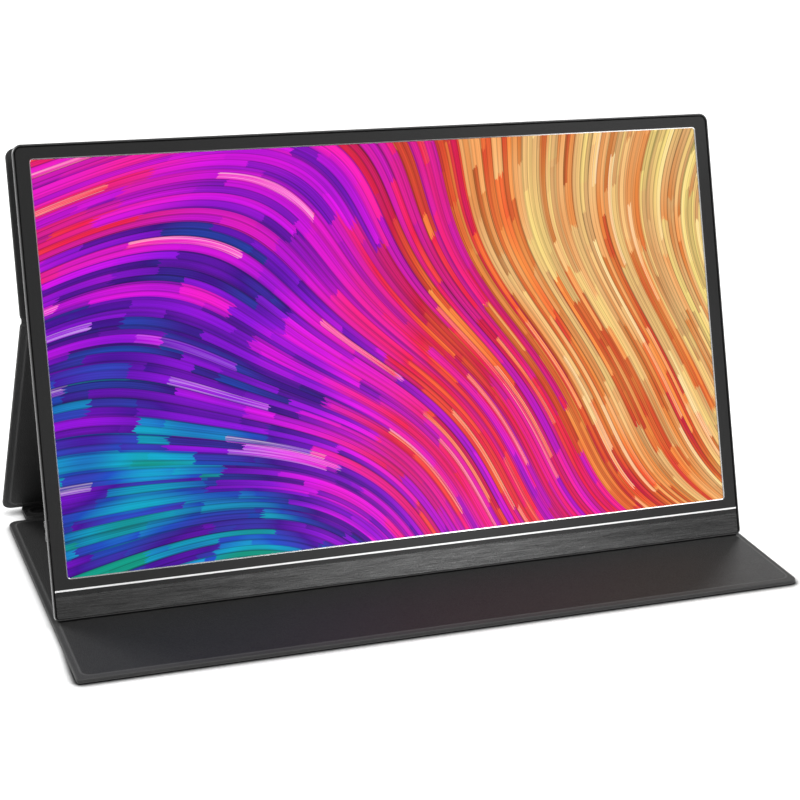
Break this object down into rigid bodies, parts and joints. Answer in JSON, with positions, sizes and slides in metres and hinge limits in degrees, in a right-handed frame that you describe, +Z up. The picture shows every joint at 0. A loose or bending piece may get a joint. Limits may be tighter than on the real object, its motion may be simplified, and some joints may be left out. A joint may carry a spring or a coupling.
{
  "type": "portable monitor",
  "caption": "Slim flat display with a brushed chin, leaning in a folding leather stand cover with magnetic panels, side sockets, a menu rocker and a power button.",
  "frame": {"origin": "middle of the bounding box, on the surface that the cover stands on", "axes": "+X to the viewer's right across the screen, -Y towards the viewer, +Z up"},
  "size_m": [0.3624, 0.1954, 0.2099],
  "materials": {
    "housing_metal": "dark anodised, fine satin",
    "bezel_black": "matte",
    "bright_metal": "polished bevel",
    "chin_metal": "brushed along the width",
    "screen_glass": "semi-matte glass over a lit picture",
    "white_film": "satin film",
    "clear_acrylic": "clear, polished",
    "steel_sheet": "rolled sheet",
    "black_tape": "foam tape",
    "pcb_green": "solder mask",
    "flex_film": "polyimide film",
    "chip_black": "moulded package",
    "socket_steel": "plated shell",
    "black_plastic": "moulded",
    "button_metal": "dark anodised",
    "nickel_magnet": "nickel plated",
    "cover_leather": "fine grained, charcoal",
    "cover_lining": "fine grained, charcoal",
    "cover_board": "pressed fibre board"
  },
  "bodies": {
    "base_panel": {"base_skin": "cover_leather", "base_board": "cover_board", "base_magnets": "nickel_magnet", "base_lining": "cover_lining", "base_fold": "cover_leather"},
    "spine_strip": {"spine_skin": "cover_leather", "spine_board": "cover_board", "spine_lining": "cover_lining", "foot_fold": "cover_leather"},
    "leg_panel": {"leg_skin": "cover_leather", "leg_board": "cover_board", "leg_lining": "cover_lining", "back_fold": "cover_leather"},
    "display": {"rear_housing": "housing_metal", "front_bezel": "bezel_black", "chin_strip": "bright_metal", "screen_trim": "bright_metal", "chin_plate": "chin_metal", "lcd_panel": "screen_glass", "diffuser_films": "white_film", "light_guide": "clear_acrylic", "reflector_sheet": "white_film", "led_bar": "pcb_green", "panel_tray": "steel_sheet", "panel_tapes": "black_tape", "driver_board": "pcb_green", "source_flexes": "flex_film", "panel_ribbon": "white_film", "main_board": "pcb_green", "board_chips": "chip_black", "board_shield": "steel_sheet", "board_screws": "steel_sheet", "usb_c_data_socket": "socket_steel", "usb_c_power_socket": "socket_steel", "mini_hdmi_socket": "socket_steel", "audio_jack": "black_plastic", "power_switch": "black_plastic", "rocker_bracket": "black_plastic", "rocker_switches": "black_plastic", "key_board": "pcb_green", "key_flex": "flex_film", "speaker_left": "black_plastic", "speaker_lead_left": "flex_film", "speaker_right": "black_plastic", "speaker_lead_right": "flex_film", "housing_magnets": "nickel_magnet", "chin_magnets": "nickel_magnet", "back_panel_skin": "cover_leather", "back_panel_board": "cover_board", "back_panel_magnets": "nickel_magnet", "back_panel_lining": "cover_lining", "back_pad": "black_tape"},
    "power_button": {"power_button": "button_metal"},
    "menu_rocker": {"menu_rocker": "button_metal"}
  },
  "joints": [
    {"name": "base_fold_hinge", "type": "hinge", "parent": "base_panel", "child": "spine_strip", "pos_m": [0, 0.0796, 0.0011], "axis": [1, 0, 0], "range_deg": [-120, 0]},
    {"name": "foot_fold_hinge", "type": "hinge", "parent": "spine_strip", "child": "leg_panel", "pos_m": [0, 0.0966, 0.0011], "axis": [1, 0, 0], "range_deg": [-121.3, 0]},
    {"name": "back_fold_hinge", "type": "hinge", "parent": "leg_panel", "child": "display", "pos_m": [0, 0.01872, 0.12907], "axis": [1, 0, 0], "range_deg": [0, 51.32]},
    {"name": "power_button_press", "type": "slide", "parent": "display", "child": "power_button", "axis": [-1, 0, 0], "range_m": [0, 0.0005], "stiffness_N_per_m": 800, "springref_m": -0.001},
    {"name": "menu_rocker_tilt", "type": "hinge", "parent": "display", "child": "menu_rocker", "pos_m": [-0.1772, -0.02555, 0.04164], "axis": [0, -0.9397, 0.342], "range_deg": [-2.5, 2.5], "stiffness_Nm_per_rad": 0.1}
  ],
  "couplings": [
    {"joint": "back_fold_hinge", "follows": "foot_fold_hinge", "ratio": -0.42303}
  ]
}
